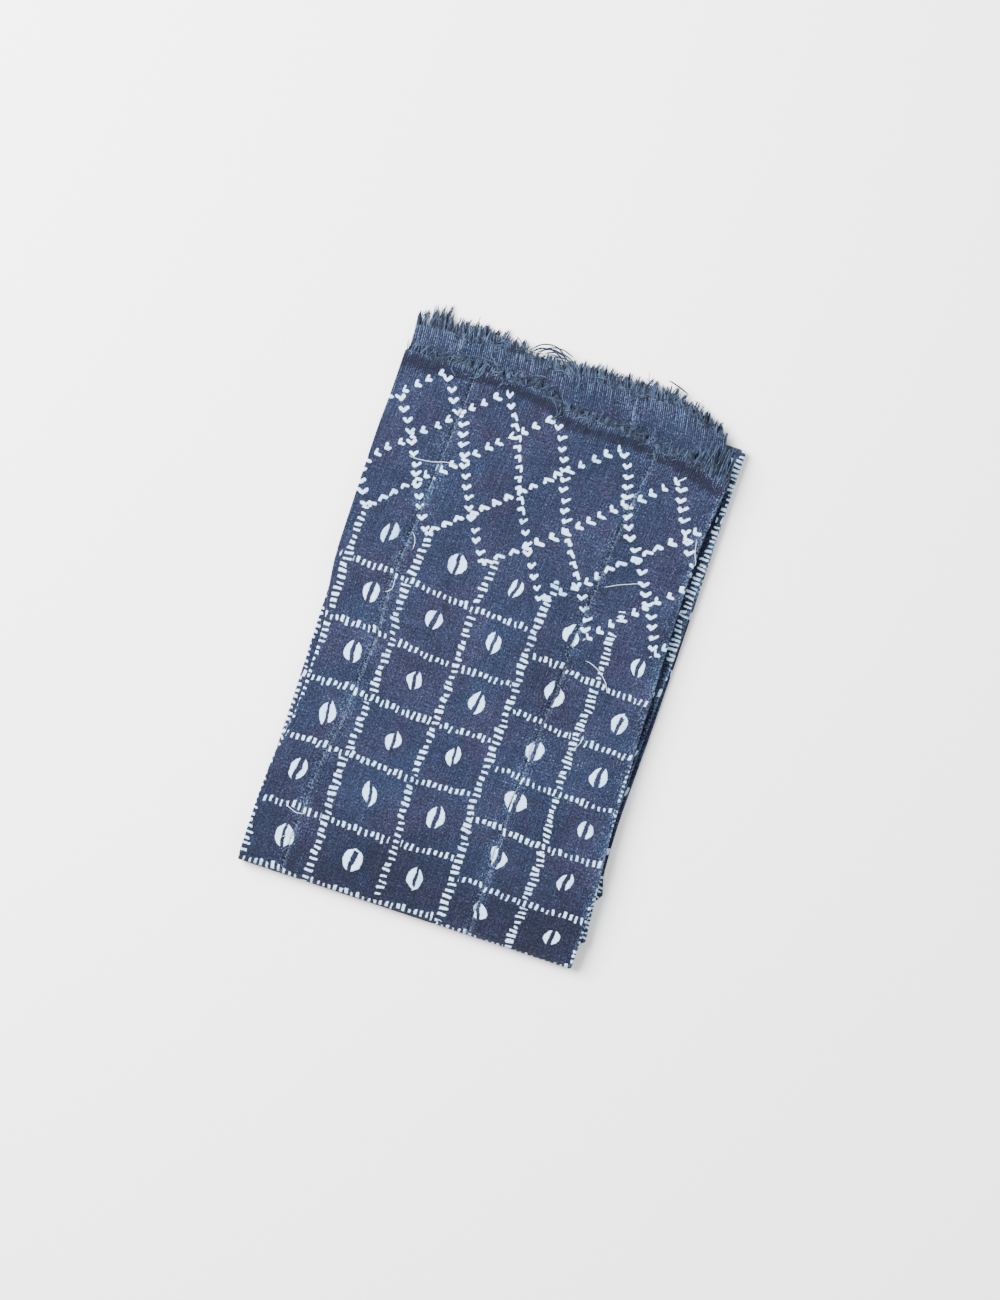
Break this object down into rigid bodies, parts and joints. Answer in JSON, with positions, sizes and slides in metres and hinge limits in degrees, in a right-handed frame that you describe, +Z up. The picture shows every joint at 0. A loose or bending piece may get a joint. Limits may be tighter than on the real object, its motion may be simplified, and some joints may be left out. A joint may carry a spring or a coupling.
{
  "type": "folded woven cloth",
  "caption": "Indigo resist-dyed cloth of narrow handwoven strips, folded flat into a neat bundle with a raw fringe at one end.",
  "frame": {"origin": "centre of the folded cloth's outline, on the surface that it lies on", "axes": "+X across the folded cloth, +Y along it towards the fringed end, +Z up through its layers"},
  "size_m": [0.2522, 0.4156, 0.0157],
  "materials": {
    "indigo_cotton": "matte handspun cotton, dyed deep indigo, with undyed resist marks",
    "faded_indigo_cotton": "matte handspun cotton, indigo worn lighter at the seam and the fold",
    "warp_thread": "loose cotton warp ends, steel blue"
  },
  "bodies": {
    "root": {"strip_left_flap": "indigo_cotton", "strip_left_fold": "indigo_cotton", "strip_middle": "indigo_cotton", "strip_right_fold": "faded_indigo_cotton", "strip_right_flap": "indigo_cotton", "fringe_upper": "warp_thread", "fringe_lower": "warp_thread"}
  },
  "joints": []
}
